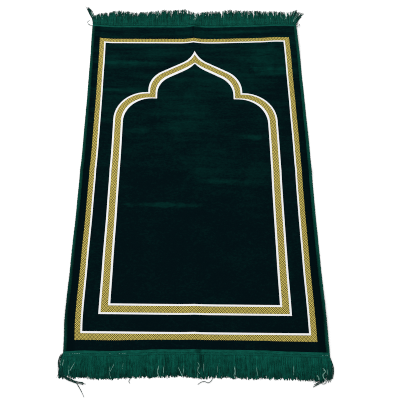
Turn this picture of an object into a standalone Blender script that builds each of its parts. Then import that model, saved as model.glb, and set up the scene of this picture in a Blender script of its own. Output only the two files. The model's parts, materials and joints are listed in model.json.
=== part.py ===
"""A velvet prayer rug, lying flat on the floor with its fold creases showing.

Metres, +Z up. The origin is on the floor under the middle of the rug. +X runs across
the rug and +Y runs along it, towards the end where the arch points.

Every piece is laid out in the rug's own sheet coordinates first: u across, v along and
h up from the underside. lie() then gives the place in plan, because a real rug never
lies perfectly square, and lift() gives how far creases and curled edges stand off the
floor. All the pieces share both, so what is sewn together also lies together.
"""

import math
import random

import bmesh
import bpy
from mathutils import Vector

MM = 0.001

# Driving dimensions: the cloth
WIDTH = 700 * MM
SEAM_TO_SEAM = 1094 * MM  # the velvet between the two fringe headings
PILE_CLOTH = 3.0 * MM  # backing and pile together
HEM = 1.2 * MM  # the margin pressed flat inside a binding or a heading

# Driving dimensions: the tape folded round the long edges, and the fringes' headings
TAPE = 0.7 * MM  # one ply of either
GAP = 0.3 * MM
BINDING_WIDTH = 8 * MM
HEADING_WIDTH = 16 * MM
HEADING_LAP = 10 * MM  # how far a heading reaches over the cloth's hem

# Driving dimensions: the fringes
LOCKS = 140  # along each end
LOCK_PITCH = WIDTH / LOCKS
LOCK_RINGS = 4  # lengths that a lock is bent in
ROOT_WIDTH = 4.3 * MM
TIP_WIDTH = 2.5 * MM
TIP_HEIGHT = 1.4 * MM
CLUMP_SIZES = (3, 4, 5, 6)  # neighbouring locks whose tips lean together
CORNER_CLUMP = 4  # the size of the first and the last clump
CLUMP_LEAN = 1.4  # degrees
CLUMP_DRAW = 0.3  # share of the way to the clump's middle that a tip is drawn
RAGGED = 2.5 * MM  # by how much single tips vary
SETTLE = 28 * MM  # past a heading, the length in which raised locks reach the floor

TRIM = 2 * TAPE + 2 * GAP + HEM  # a binding or a heading over all
HALF_WIDTH = WIDTH / 2
SEAM = SEAM_TO_SEAM / 2
HEADING_END = SEAM + HEADING_WIDTH

# Where the sheets are divided (mm): closer at the creases and at the curled corners
ACROSS = (-350, -340, -310, -275, -235, -185, -130, -85, -50, -30, -15, -5)
ACROSS += (5, 20, 40, 75, 120, 170, 215, 250, 280, 310, 340, 350)
ALONG = (-505, -460, -410, -350, -280, -200, -130, -80, -50, -30, -18, -8)
ALONG += (2, 14, 34, 64, 110, 180, 260, 330, 385, 430, 470, 510)

# How the rug lies (mm). Side sway: how far each long edge stands out from the straight.
SIDE_SWAY = (  # v, left edge, right edge
    (-547, 0.0, 2.4),
    (-460, 3.9, 2.4),
    (-300, 2.0, 0.4),
    (-140, -0.4, -0.2),
    (80, -2.0, 0.6),
    (220, -1.7, -0.3),
    (380, -0.3, -1.5),
    (547, 2.1, -5.0),
)
SKEW = 0.0125  # how much the weft runs down to the right, below the far end
FAR_PULL = (  # u, how far the far end's seam stands beyond the straight
    (-350, 3.0),
    (-275, -1.0),
    (60, -1.0),
    (165, 2.0),
    (215, 4.0),
    (265, 5.0),
    (315, 3.0),
    (350, 2.0),
)
NEAR_PULL = (  # u, how far the near end's seam stands inside the straight
    (-350, -4.5),
    (-300, -2.0),
    (-220, -2.5),
    (-170, 0.0),
    (-100, 3.0),
    (90, 3.7),
    (170, 3.0),
    (240, 0.5),
    (350, -1.3),
)

# Creases from the rug's folding (mm): runs, place, half width, then heights along it
CREASES = (
    ("along", -5, 45, ((-547, 5.0), (-350, 3.0), (0, 3.4), (350, 3.2), (547, 6.5))),
    ("across", -8, 42, ((-350, 4.0), (-120, 2.4), (120, 2.4), (350, 4.2))),
)
# Curled corners and edges that stand off the floor (mm)
CURLS = (  # u, v, half width, half length, height
    (330, 500, 125, 140, 6.0),
    (-345, 505, 80, 110, 2.2),
    (-345, -430, 85, 130, 3.0),
    (345, -440, 75, 120, 2.0),
    (345, 130, 55, 100, 1.6),
    (-345, 140, 60, 110, 1.8),
)

# How long the fringes are (mm past the seam): u, far end, near end
FRINGE_REACH = (
    (-345, 56, 67),
    (-300, 63, 70),
    (-260, 72, 71),
    (-200, 63, 72),
    (-160, 67, 70),
    (-100, 74, 71),
    (-30, 81, 70),
    (0, 63, 75),
    (60, 71, 70),
    (140, 73, 73),
    (200, 71, 70),
    (260, 64, 70),
    (300, 66, 72),
    (345, 62, 74),
)
# Locks that stray from the row: end, lock, lean at the root and at the tip (degrees),
# length (mm)
STRAY_LOCKS = (
    ("far", 0, -12, -31, 82),
    ("far", 1, -12, -29, 74),
    ("far", 2, -11, -27, 66),
    ("far", 3, -9, -20, 47),
    ("far", 4, -5, -9, 42),
    ("far", 134, 4, 7, 50),
    ("far", 135, 7, 11, 51),
    ("far", 136, 10, 17, 56),
    ("far", 137, 13, 22, 62),
    ("far", 138, 16, 31, 55),
    ("far", 139, 20, 47, 55),
    ("near", 0, -22, 90, 106),
    ("near", 1, -14, 18, 44),
    ("near", 2, -8, 11, 47),
    ("near", 3, -5, 8, 50),
    ("near", 136, 4, -8, 51),
    ("near", 137, 7, -14, 49),
    ("near", 138, 11, -22, 45),
    ("near", 139, 22, -82, 98),
)

# Base colours and roughness
COLOURS = {
    "velvet": ((0.004, 0.028, 0.024, 1.0), 0.95),
    "tape": ((0.006, 0.062, 0.040, 1.0), 0.85),
    "fringe yarn": ((0.004, 0.085, 0.050, 1.0), 0.8),
}


def clear_scene():
    for thing in list(bpy.data.objects):
        bpy.data.objects.remove(thing)


def eased(rows, at, column=1):
    """The column's value at a place, easing from row to row."""
    if at <= rows[0][0]:
        return rows[0][column]
    for near, far in zip(rows, rows[1:]):
        if at <= far[0]:
            share = (at - near[0]) / (far[0] - near[0])
            share = share * share * (3 - 2 * share)
            return near[column] + (far[column] - near[column]) * share
    return rows[-1][column]


def ramp(at, start, end):
    share = min(1, max(0, (at - start) / (end - start)))
    return share * share * (3 - 2 * share)


def lie(u, v):
    """Where a point of the sheet lies in plan."""
    u_mm, v_mm = u / MM, v / MM
    share = 0.5 + u / WIDTH
    left = eased(SIDE_SWAY, v_mm, 1)
    right = eased(SIDE_SWAY, v_mm, 2)
    far = ramp(v_mm, 300, 500)
    near = ramp(-v_mm, 500, 540)
    x = u_mm - left * (1 - share) + right * share
    y = v_mm - SKEW * u_mm * (1 - far)
    y += eased(FAR_PULL, u_mm) * far + eased(NEAR_PULL, u_mm) * near
    return x * MM, y * MM


def lift(u, v):
    """How far the underside stands off the floor at a point of the sheet."""
    beyond = max(0, abs(v) - HEADING_END)
    u_mm = max(-350, min(350, u / MM))
    v_mm = math.copysign(min(abs(v), HEADING_END), v) / MM
    height = 0
    for runs, line, half_width, heights in CREASES:
        off, along = (u_mm - line, v_mm) if runs == "along" else (v_mm - line, u_mm)
        height += eased(heights, along) * max(0, 1 - abs(off) / half_width) ** 2
    for curl_u, curl_v, half_width, half_length, curl_height in CURLS:
        off = ((u_mm - curl_u) / half_width) ** 2 + ((v_mm - curl_v) / half_length) ** 2
        height += curl_height * max(0, 1 - off) ** 2
    return height * MM * max(0, 1 - beyond / SETTLE) ** 2


def place(u, v, h):
    x, y = lie(u, v)
    return Vector((x, y, lift(u, v) + h))


def finish_object(mesh, name, colour):
    """Makes the object of a mesh, with its faces turned outwards."""
    bmesh.ops.remove_doubles(mesh, verts=mesh.verts, dist=0.001 * MM)
    bmesh.ops.recalc_face_normals(mesh, faces=mesh.faces)
    data = bpy.data.meshes.new(name)
    mesh.to_mesh(data)
    mesh.free()
    data.materials.append(material(colour))
    data.shade_smooth()
    data.set_sharp_from_angle(angle=math.radians(40))
    thing = bpy.data.objects.new(name, data)
    bpy.context.collection.objects.link(thing)
    return thing


def material(colour):
    found = bpy.data.materials.get(colour)
    if found:
        return found
    made = bpy.data.materials.new(colour)
    made.use_nodes = True
    base, roughness = COLOURS[colour]
    shader = made.node_tree.nodes["Principled BSDF"]
    shader.inputs["Base Color"].default_value = base
    shader.inputs["Roughness"].default_value = roughness
    shader.inputs["Metallic"].default_value = 0
    return made


def face_strip(mesh, first, second):
    """Joins two rings of points with a band of faces."""
    count = len(first)
    for i in range(count):
        j = (i + 1) % count
        mesh.faces.new((first[i], first[j], second[j], second[i]))


# The cloth: full thickness inside the seams, and a thin hem all round at mid height


def stations(inner, step, edge):
    """Places across a sheet, as (place, in the hem), doubled at the hem's step."""
    middle = [(inner_mm * MM, False) for inner_mm in inner]
    low = [(-edge, True), (-step, True), (-step, False)]
    return low + middle + [(-at, hem) for at, hem in reversed(low)]


def make_cloth():
    hem_low = TAPE + GAP
    across = stations(
        ACROSS[2:-2],
        HALF_WIDTH - BINDING_WIDTH - GAP,
        HALF_WIDTH - TAPE - GAP,
    )
    along = stations(ALONG, SEAM - GAP, SEAM + HEADING_LAP)
    mesh = bmesh.new()
    under, over = [], []
    for u, u_hem in across:
        low = (hem_low, hem_low + HEM)
        column = [(u, v, low if u_hem or v_hem else (0, PILE_CLOTH)) for v, v_hem in along]
        under.append([mesh.verts.new(place(u, v, h[0])) for u, v, h in column])
        over.append([mesh.verts.new(place(u, v, h[1])) for u, v, h in column])
    last_u, last_v = len(across) - 1, len(along) - 1
    for i in range(last_u):
        for j in range(last_v):
            mesh.faces.new((over[i][j], over[i + 1][j], over[i + 1][j + 1], over[i][j + 1]))
            mesh.faces.new((under[i][j], under[i][j + 1], under[i + 1][j + 1], under[i + 1][j]))
    rim = [(i, 0) for i in range(last_u)] + [(last_u, j) for j in range(last_v)]
    rim += [(i, last_v) for i in range(last_u, 0, -1)] + [(0, j) for j in range(last_v, 0, -1)]
    face_strip(mesh, [under[i][j] for i, j in rim], [over[i][j] for i, j in rim])
    return finish_object(mesh, "rug_cloth", "velvet")


# The bindings: one tape folded round each long edge


def folded_tape(fold, lap, width):
    """A folded tape's section, as (distance in from the fold, height)."""
    return (
        (width, 0),
        (fold, 0),
        (fold, TRIM),
        (width, TRIM),
        (width, TRIM - TAPE),
        (lap, TRIM - TAPE),
        (lap, TAPE),
        (width, TAPE),
    )


def make_binding(name, side):
    section = folded_tape(0, TAPE, BINDING_WIDTH)
    end = SEAM - GAP
    mesh = bmesh.new()
    rings = []
    for v in [-end, *(at * MM for at in ALONG), end]:
        ring = [place(side * (HALF_WIDTH - depth), v, h) for depth, h in section]
        rings.append([mesh.verts.new(point) for point in ring])
    for first, second in zip(rings, rings[1:]):
        face_strip(mesh, first, second)
    mesh.faces.new(rings[0])
    mesh.faces.new(rings[-1])
    return finish_object(mesh, name, "tape")


# The fringes: a woven heading folded over the cloth's end, and the locks that hang
# from its outer edge and lie on the floor


def lock_course(end, lock, clump, ragged):
    """Plan points and leans from a lock's root to its tip, in the sheet's coordinates.

    Here v counts away from the seam's end of the rug, for either end.
    """
    u = -HALF_WIDTH + (lock + 0.5) * LOCK_PITCH
    strays = {(row[0], row[1]): row[2:] for row in STRAY_LOCKS}
    if (end, lock) in strays:
        lean, tip_lean, length = strays[end, lock]
        length *= MM
    else:
        reach = eased(FRINGE_REACH, u / MM, 1 if end == "far" else 2) * MM
        length = reach - HEADING_WIDTH + clump["longer"] + ragged
        drawn = (clump["middle"] - u) * CLUMP_DRAW / length
        lean = clump["lean"] + math.degrees(drawn)
        tip_lean = lean + clump["turn"]
    v = HEADING_END
    course = [(u, v, 0)]
    for ring in range(1, LOCK_RINGS + 1):
        share = (ring - 0.5) / LOCK_RINGS
        angle = math.radians(lean + (tip_lean - lean) * share)
        u += math.sin(angle) * length / LOCK_RINGS
        v += math.cos(angle) * length / LOCK_RINGS
        tip_share = ring / LOCK_RINGS
        course.append((u, v, math.radians(lean + (tip_lean - lean) * tip_share)))
    return course


def make_clumps(chance):
    """The clump of each lock: neighbours that lean and end together."""
    clumps = []
    while len(clumps) < LOCKS:
        left_over = LOCKS - CORNER_CLUMP - len(clumps)
        size = min(chance.choice(CLUMP_SIZES), left_over)
        if not clumps or left_over <= 0:
            size = CORNER_CLUMP
        clump = {
            "middle": -HALF_WIDTH + (len(clumps) + size / 2) * LOCK_PITCH,
            "lean": chance.uniform(-CLUMP_LEAN, CLUMP_LEAN),
            "turn": chance.uniform(-2, 2),
            "longer": chance.uniform(-3, 3) * MM,
        }
        clumps += [clump] * size
    return clumps


def make_fringe(name, end):
    chance = random.Random(7 if end == "far" else 11)
    way = 1 if end == "far" else -1
    clumps = make_clumps(chance)
    courses = [
        lock_course(end, lock, clumps[lock], chance.uniform(-RAGGED, RAGGED))
        for lock in range(LOCKS)
    ]
    section = folded_tape(0, HEADING_WIDTH - HEADING_LAP - GAP, HEADING_WIDTH)
    mesh = bmesh.new()
    columns = [at * MM for at in ACROSS]
    corners = []
    for u in columns:
        ring = [place(u, way * (HEADING_END - depth), h) for depth, h in section]
        corners.append([mesh.verts.new(point) for point in ring])

    def on_edge(left, right, share, corner):
        """A new point on the heading's outer edge, between two columns."""
        return mesh.verts.new(left[corner].co.lerp(right[corner].co, share))

    for (u_left, left), (u_right, right) in zip(
        zip(columns, corners), zip(columns[1:], corners[1:])
    ):
        low, high = [left[1]], [left[2]]
        roots = [i for i in range(LOCKS) if u_left < courses[i][0][0] < u_right]
        for lock in roots:
            u = courses[lock][0][0]
            foot = []
            for side in (-1, 1):
                share = (u + side * ROOT_WIDTH / 2 - u_left) / (u_right - u_left)
                foot.append(on_edge(left, right, share, 1))
            crown = on_edge(left, right, (u - u_left) / (u_right - u_left), 2)
            mesh.faces.new((low[-1], foot[0], crown, high[-1]))
            low += foot
            high.append(crown)
            make_lock(mesh, (foot[0], foot[1], crown), courses[lock], way)
        mesh.faces.new((low[-1], right[1], right[2], high[-1]))
        low.append(right[1])
        high.append(right[2])
        fan(mesh, left[0], right[0], low)
        fan(mesh, left[3], right[3], high)
        for i in (3, 4, 5, 6, 7):
            j = (i + 1) % 8
            mesh.faces.new((left[i], right[i], right[j], left[j]))
    mesh.faces.new(corners[0])
    mesh.faces.new(corners[-1])
    return finish_object(mesh, name, "fringe yarn")


def make_lock(mesh, root, course, way):
    """A three-sided lock, flat underneath, that narrows from its root to its tip."""
    ring = list(root)
    for number, (u, v, angle) in enumerate(course[1:], start=1):
        share = number / LOCK_RINGS
        width = ROOT_WIDTH + (TIP_WIDTH - ROOT_WIDTH) * share
        height = TRIM + (TIP_HEIGHT - TRIM) * share
        across_u = math.cos(angle) * width / 2
        across_v = -math.sin(angle) * width / 2
        following = [
            mesh.verts.new(place(u - across_u, way * (v - across_v), 0)),
            mesh.verts.new(place(u + across_u, way * (v + across_v), 0)),
            mesh.verts.new(place(u, way * v, height)),
        ]
        face_strip(mesh, ring, following)
        ring = following
    mesh.faces.new(ring)


def fan(mesh, left, right, edge):
    """Fills from a straight edge, left to right, to the many points of the other."""
    middle = len(edge) // 2
    for first, second in zip(edge[:middle], edge[1:]):
        mesh.faces.new((left, first, second))
    mesh.faces.new((left, edge[middle], right))
    for first, second in zip(edge[middle:], edge[middle + 1 :]):
        mesh.faces.new((right, first, second))


def main():
    clear_scene()
    make_cloth()
    make_binding("binding_left", -1)
    make_binding("binding_right", 1)
    make_fringe("fringe_top", "far")
    make_fringe("fringe_bottom", "near")


main()
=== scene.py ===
# %% [markdown]
# # A velvet prayer rug, lying flat
#
# The real rug is one piece of machine-woven velvet with a pointed arch in gold and white.
# A narrow thread edging is whipped over each long side, and a band of fringe is sewn to
# each end. The rug has been folded in four, so two creases still stand up from the floor.
#
# The frame gives the rug as plain solids at their real size. This lesson lays finer
# pieces in their place: the cloth, an edging at each side, and at each end a heading, a
# fringe and the threads that have worked loose from it.

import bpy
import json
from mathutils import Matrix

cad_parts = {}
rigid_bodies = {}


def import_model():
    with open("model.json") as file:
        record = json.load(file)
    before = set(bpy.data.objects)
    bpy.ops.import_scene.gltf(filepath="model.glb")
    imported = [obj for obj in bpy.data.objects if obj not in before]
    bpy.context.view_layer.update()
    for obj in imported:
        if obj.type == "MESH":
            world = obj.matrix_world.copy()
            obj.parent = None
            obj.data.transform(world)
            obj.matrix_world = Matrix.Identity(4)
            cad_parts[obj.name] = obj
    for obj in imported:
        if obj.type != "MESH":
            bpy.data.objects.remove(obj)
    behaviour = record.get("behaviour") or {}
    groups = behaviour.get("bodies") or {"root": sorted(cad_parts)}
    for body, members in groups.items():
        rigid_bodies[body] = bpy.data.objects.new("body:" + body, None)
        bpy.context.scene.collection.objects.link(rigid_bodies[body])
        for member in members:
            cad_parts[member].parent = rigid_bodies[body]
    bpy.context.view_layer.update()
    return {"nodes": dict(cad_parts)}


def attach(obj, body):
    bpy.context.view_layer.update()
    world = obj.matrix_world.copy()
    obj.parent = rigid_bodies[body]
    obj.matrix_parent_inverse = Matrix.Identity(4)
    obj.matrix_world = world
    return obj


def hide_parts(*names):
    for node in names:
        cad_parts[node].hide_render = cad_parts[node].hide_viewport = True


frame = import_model()
print("the rug's solids:", ", ".join(sorted(frame["nodes"])))

# %% The modules that the cells share
import json
import math
import random

import bmesh
import bpy
import numpy as np
from mathutils import Matrix, Vector, noise

MM = 0.001
print("Blender", bpy.app.version_string, "with NumPy", np.__version__)

# %% [markdown]
# ## The camera
#
# The camera comes first, because every look at the work goes through it. It stands a
# little in front of the rug and looks down steeply, so the far end seems narrower. Its
# place and its three turns were found by fitting the four corners of the cloth, 70 cm by
# 110 cm, to the corners in the picture. Blender's camera looks along its own -Z, so the
# three directions make up the columns of its turn.

# %% Place the camera
PICTURE_PX = 400
FOCAL_PX = 590
SENSOR_MM = 36
CAMERA_PLACE = Vector((-0.0058, -0.8494, 1.5802))
PITCH, YAW, ROLL = (math.radians(angle) for angle in (64.794, 1.377, 1.240))

ahead = Vector((math.sin(YAW), math.cos(YAW), 0)) * math.cos(PITCH)
ahead.z = -math.sin(PITCH)
level = Vector((math.cos(YAW), -math.sin(YAW), 0))
right = level * math.cos(ROLL) + level.cross(ahead) * math.sin(ROLL)
turn = Matrix((right, right.cross(ahead), -ahead)).transposed()
bpy.ops.object.camera_add(location=CAMERA_PLACE, rotation=turn.to_euler())
camera = bpy.context.object
camera.name = "camera"
camera.data.sensor_width = SENSOR_MM
camera.data.lens = FOCAL_PX / PICTURE_PX * SENSOR_MM
camera.data.clip_start = 0.05
bpy.context.scene.camera = camera
print("lens", round(camera.data.lens, 1), "mm, height", CAMERA_PLACE.z, "m")

# %% [markdown]
# ## How the rug lies
#
# Cloth is easiest to draw flat, as it was cut, and to lay down afterwards. So every piece
# has sheet coordinates: u across, v along and h up from the underside. `lie` gives where
# a sheet point lies in plan, as no rug lies quite square, and `lift` how far the
# underside stands off the floor at the creases and the curled corners. The tables are
# the same as those of the solids, so the fine pieces fill the solids' places.

# %% The rug's sizes
WIDTH = 700 * MM
SEAM = 547 * MM  # from the middle to where a fringe's heading starts
PILE_CLOTH = 3.0 * MM
HEM = 1.2 * MM
TAPE = 0.7 * MM
GAP = 0.3 * MM
EDGING_WIDTH = 8 * MM
HEADING_WIDTH = 16 * MM
HEADING_LAP = 10 * MM
TRIM = 2 * TAPE + 2 * GAP + HEM
HALF_WIDTH = WIDTH / 2
HEADING_END = SEAM + HEADING_WIDTH
SETTLE = 28 * MM  # past a heading, the length in which raised yarn reaches the floor
print("with its trim the rug is", round(WIDTH / MM), "x", round(2 * HEADING_END / MM), "mm")

# %% The tables of how it lies, in millimetres
SIDE_SWAY = (  # v, left edge outwards, right edge outwards
    (-547, 0.0, 2.4),
    (-460, 3.9, 2.4),
    (-300, 2.0, 0.4),
    (-140, -0.4, -0.2),
    (80, -2.0, 0.6),
    (220, -1.7, -0.3),
    (380, -0.3, -1.5),
    (547, 2.1, -5.0),
)
SKEW = 0.0125  # how much nearer the rug lies for each step to the right
FAR_BEND = (300, 500)  # between these places the far seam's own bend sets in
NEAR_BEND = (500, 540)
FAR_PULL = (  # u, how far the far seam stands beyond the straight
    (-350, 3.0),
    (-275, -1.0),
    (60, -1.0),
    (165, 2.0),
    (215, 4.0),
    (265, 5.0),
    (315, 3.0),
    (350, 2.0),
)
NEAR_PULL = (  # u, how far the near seam stands inside the straight
    (-350, -4.5),
    (-300, -2.0),
    (-220, -2.5),
    (-170, 0.0),
    (-100, 3.0),
    (90, 3.7),
    (170, 3.0),
    (240, 0.5),
    (350, -1.3),
)
CREASES = (  # runs, line, half width, then heights along it
    ("along", -5, 45, ((-547, 5.0), (-350, 3.0), (0, 3.4), (350, 3.2), (547, 6.5))),
    ("across", -8, 42, ((-350, 4.0), (-120, 2.4), (120, 2.4), (350, 4.2))),
)
CURLS = (  # u, v, half width, half length, height
    (330, 500, 125, 140, 6.0),
    (-345, 505, 80, 110, 2.2),
    (-345, -430, 85, 130, 3.0),
    (345, -440, 75, 120, 2.0),
    (345, 130, 55, 100, 1.6),
    (-345, 140, 60, 110, 1.8),
)
print("it has", len(CREASES), "creases and", len(CURLS), "places that curl up")


# %% Read a table
def eased(rows, at, column=1):
    """The column's values at places along a table, easing from row to row."""
    keys = np.array([row[0] for row in rows], float)
    values = np.array([row[column] for row in rows], float)
    step = np.clip(np.searchsorted(keys, at), 1, len(keys) - 1)
    share = np.clip((at - keys[step - 1]) / (keys[step] - keys[step - 1]), 0, 1)
    share = share * share * (3 - 2 * share)
    return values[step - 1] + (values[step] - values[step - 1]) * share


def ramp(at, start, end):
    """0 before start and 1 past end, with an eased run between."""
    share = np.clip((at - start) / (end - start), 0, 1)
    return share * share * (3 - 2 * share)


print("at v = -400 mm the left edge stands", round(eased(SIDE_SWAY, -400), 1), "mm outwards")


# %% Lay sheet points down
def lie(u, v):
    """Where sheet points lie in plan."""
    u_mm, v_mm = u / MM, v / MM
    share = 0.5 + u / WIDTH
    far = ramp(v_mm, *FAR_BEND)
    near = ramp(-v_mm, *NEAR_BEND)
    left, right = eased(SIDE_SWAY, v_mm, 1), eased(SIDE_SWAY, v_mm, 2)
    x = u_mm - left * (1 - share) + right * share
    y = v_mm - SKEW * u_mm * (1 - far)
    y += eased(FAR_PULL, u_mm) * far + eased(NEAR_PULL, u_mm) * near
    return x * MM, y * MM


def lift(u, v):
    """How far the underside stands off the floor there."""
    beyond = np.maximum(0, np.abs(v) - HEADING_END)
    u_mm = np.clip(u, -HALF_WIDTH, HALF_WIDTH) / MM
    v_mm = np.clip(v, -HEADING_END, HEADING_END) / MM
    height = np.zeros_like(u_mm)
    for runs, line, half_width, heights in CREASES:
        off, along = (u_mm - line, v_mm) if runs == "along" else (v_mm - line, u_mm)
        height += eased(heights, along) * np.maximum(0, 1 - np.abs(off) / half_width) ** 2
    for curl_u, curl_v, half_width, half_length, curl_height in CURLS:
        off = ((u_mm - curl_u) / half_width) ** 2 + ((v_mm - curl_v) / half_length) ** 2
        height += curl_height * np.maximum(0, 1 - off) ** 2
    return height * MM * np.maximum(0, 1 - beyond / SETTLE) ** 2


def laid(points):
    """Sheet points (u, v, h) in the rug's place on the floor."""
    u, v, h = points[:, 0], points[:, 1], points[:, 2]
    x, y = lie(u, v)
    return np.stack([x, y, lift(u, v) + h], 1)


corner = laid(np.array([[HALF_WIDTH, SEAM, 0.0]]))[0] / MM
print("the far right corner lies at", corner.round(1), "mm")

# %% [markdown]
# ## Working by hand, in code
#
# Each operator acts on what is selected, so a modeller clicks one object, opens it in
# edit mode, picks some faces and runs a tool. These helpers do the clicks. `pick` takes
# a test and selects the faces or points that pass it, by their place or direction.


# %% The clicks
def click(piece):
    """Selects one object alone."""
    bpy.ops.object.select_all(action="DESELECT")
    piece.select_set(True)
    bpy.context.view_layer.objects.active = piece


def open_mesh(piece, mode="FACE"):
    """Goes into edit mode with nothing picked."""
    click(piece)
    bpy.ops.object.mode_set(mode="EDIT")
    bpy.ops.mesh.select_mode(type=mode)
    bpy.ops.mesh.select_all(action="DESELECT")


def close_mesh():
    """Goes back to object mode."""
    bpy.ops.object.mode_set(mode="OBJECT")


def pick(piece, test, parts="faces"):
    """Picks the open mesh's faces, edges or points that pass the test."""
    mesh = bmesh.from_edit_mesh(piece.data)
    chosen = [part for part in getattr(mesh, parts) if test(part)]
    for part in chosen:
        part.select_set(True)
    bmesh.update_edit_mesh(piece.data)
    return len(chosen)


# %% Read, move and join points
def points_of(piece):
    """The places of a piece's points, in rows of three numbers."""
    places = np.empty(len(piece.data.vertices) * 3)
    piece.data.vertices.foreach_get("co", places)
    return places.reshape(-1, 3)


def put_points(piece, places):
    """Moves a piece's points to new places."""
    piece.data.vertices.foreach_set("co", places.ravel())
    piece.data.update()


def join(pieces, name):
    """Joins the pieces into the first one, under this name."""
    click(pieces[0])
    for piece in pieces:
        piece.select_set(True)
    bpy.ops.object.join()
    pieces[0].name = pieces[0].data.name = name
    return pieces[0]


# %% Apply a modifier
def apply(piece, kind, **settings):
    """Adds a modifier with its settings and makes its result the piece's own mesh."""
    click(piece)
    modifier = piece.modifiers.new(kind.title(), kind)
    for name, value in settings.items():
        setattr(modifier, name, value)
    bpy.ops.object.modifier_apply(modifier=modifier.name)


# %% [markdown]
# ## Drawing with a point
#
# The arch, the tape's fold and each stitch are lines of straight runs and round arcs. A
# pencil for them is one point in edit mode: extruding it draws a run, and spinning it
# about a centre draws an arc. A plane merged at its middle gives the first point.


# %% The pencil
def start_line(name, place):
    """Opens a new drawing with its one point at the place."""
    bpy.ops.object.select_all(action="DESELECT")
    bpy.ops.mesh.primitive_plane_add(size=MM)
    line = bpy.context.object
    line.name = line.data.name = name
    bpy.ops.object.mode_set(mode="EDIT")
    bpy.ops.mesh.select_mode(type="VERT")
    bpy.ops.mesh.select_all(action="SELECT")
    bpy.ops.mesh.merge(type="CENTER")
    bpy.ops.transform.translate(value=place)
    return line


def pencil():
    """Where the drawing has come to: the open mesh's one picked point."""
    mesh = bmesh.from_edit_mesh(bpy.context.object.data)
    return next(point.co.copy() for point in mesh.verts if point.select)


def run_to(there):
    """Draws a straight run from where the drawing has come to."""
    bpy.ops.mesh.extrude_region_move(TRANSFORM_OT_translate={"value": Vector(there) - pencil()})


def arc_about(centre, degrees, steps, axis=(0, 0, 1)):
    """Draws an arc, anticlockwise as seen from the axis's tip where degrees is above zero."""
    bpy.ops.mesh.spin(steps=steps, angle=-math.radians(degrees), center=centre, axis=axis)


# %% [markdown]
# ## The cloth
#
# The cloth is woven in one go, so the arch and the borders are part of it: the green and
# white are cut pile, and the gold is a flat weave that lies a little lower. The sheet is
# a grid, and the pattern's lines cut it into regions. Each line is drawn by the pencil as
# half an outline, mirrored, and pulled up into a thin wall, and the walls are intersected
# with the grid. The edges they leave are seams, so one click fills a whole region.

# %% Plain finishes, to be made later
FINISHES = ("velvet", "gold_weave", "white_pile", "woven_back")
velvet, gold, white, back = map(bpy.data.materials.new, FINISHES)
YARNS = ("edging_thread", "heading_yarn", "fringe_yarn", "loose_yarn", "pale_yarn")
edging_thread, heading_yarn, yarn, loose_yarn, pale_yarn = map(bpy.data.materials.new, YARNS)
print("finishes to make:", ", ".join(FINISHES + YARNS))

# %% The sheet's sizes
CLOTH_HALF = HALF_WIDTH - TAPE - GAP
CLOTH_END = SEAM + HEADING_LAP
HEM_U = HALF_WIDTH - EDGING_WIDTH - GAP
HEM_V = SEAM - GAP
HEM_SLOPE = 1.5 * MM
FOLD_U, FOLD_V = (line * MM for runs, line, half_width, heights in CREASES)
SQUARES = (88, 140)  # across and along the sheet, 8 mm wide each
GOLD_SLOT, WHITE_SLOT, BACK_SLOT = 1, 2, 3  # of the sheet's finishes; slot 0 is the velvet
print("a hem is", round((CLOTH_HALF - HEM_U) / MM, 1), "mm wide at the sides")

# %% The sheet, cut to size
bpy.ops.object.select_all(action="DESELECT")
bpy.ops.mesh.primitive_grid_add(x_subdivisions=SQUARES[0], y_subdivisions=SQUARES[1], size=1)
cloth = bpy.context.object
cloth.name = cloth.data.name = "cloth"
for finish in (velvet, gold, white, back):
    cloth.data.materials.append(finish)
bpy.ops.object.mode_set(mode="EDIT")
bpy.ops.mesh.select_all(action="SELECT")
bpy.ops.transform.resize(value=(2 * CLOTH_HALF, 2 * CLOTH_END, 1))
cuts = [((side * place, 0, 0), (1, 0, 0)) for place in (HEM_U, HEM_U - HEM_SLOPE) for side in (-1, 1)]
cuts += [((0, side * place, 0), (0, 1, 0)) for place in (HEM_V, HEM_V - HEM_SLOPE) for side in (-1, 1)]
cuts += [((FOLD_U, 0, 0), (1, 0, 0)), ((0, FOLD_V, 0), (0, 1, 0))]
for place, facing in cuts:
    bpy.ops.mesh.select_all(action="SELECT")
    bpy.ops.mesh.bisect(plane_co=place, plane_no=facing)
close_mesh()
print("the flat sheet measures", [round(side, 4) for side in cloth.dimensions[:2]], "m")

# %% The pattern's lines, in millimetres
BORDER_AXIS = -1.0
BORDER_LINES = (  # side, near end, far end
    (321.2, -520.0, 497.3),
    (306.0, -503.2, 483.0),
    (301.2, -497.9, 478.4),
)
ARCH_AXIS = -1.7
ARCH_LINES = (  # side, base, shoulder's middle u, v, notch u, lobe v, lobe radius, ogee u, tip
    (259.8, -451.0, 157.0, 173.0, 152.0, 285.0, 84.7, 38.0, 443.0),
    (254.4, -446.1, 156.5, 173.0, 146.5, 281.5, 84.0, 30.0, 428.3),
    (235.4, -426.9, 148.5, 168.5, 128.5, 276.8, 75.2, 28.0, 395.0),
    (229.7, -421.6, 140.5, 163.0, 123.4, 270.0, 75.4, 30.0, 390.8),
)
LOBE_DEGREES = 61
WALL = 5 * MM
print(len(BORDER_LINES), "border lines and", len(ARCH_LINES), "arch lines to draw")


# %% Draw half a border and half an arch
def at(u, v):
    """A sheet place in millimetres, at the foot of the walls to come."""
    return Vector((u * MM, v * MM, -WALL))


def draw_border(side, near, far):
    """The right half of a border's line."""
    line = start_line("border", at(0, near))
    for u, v in ((side, near), (side, far), (0, far)):
        run_to(at(u, v))
    close_mesh()
    return line


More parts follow.
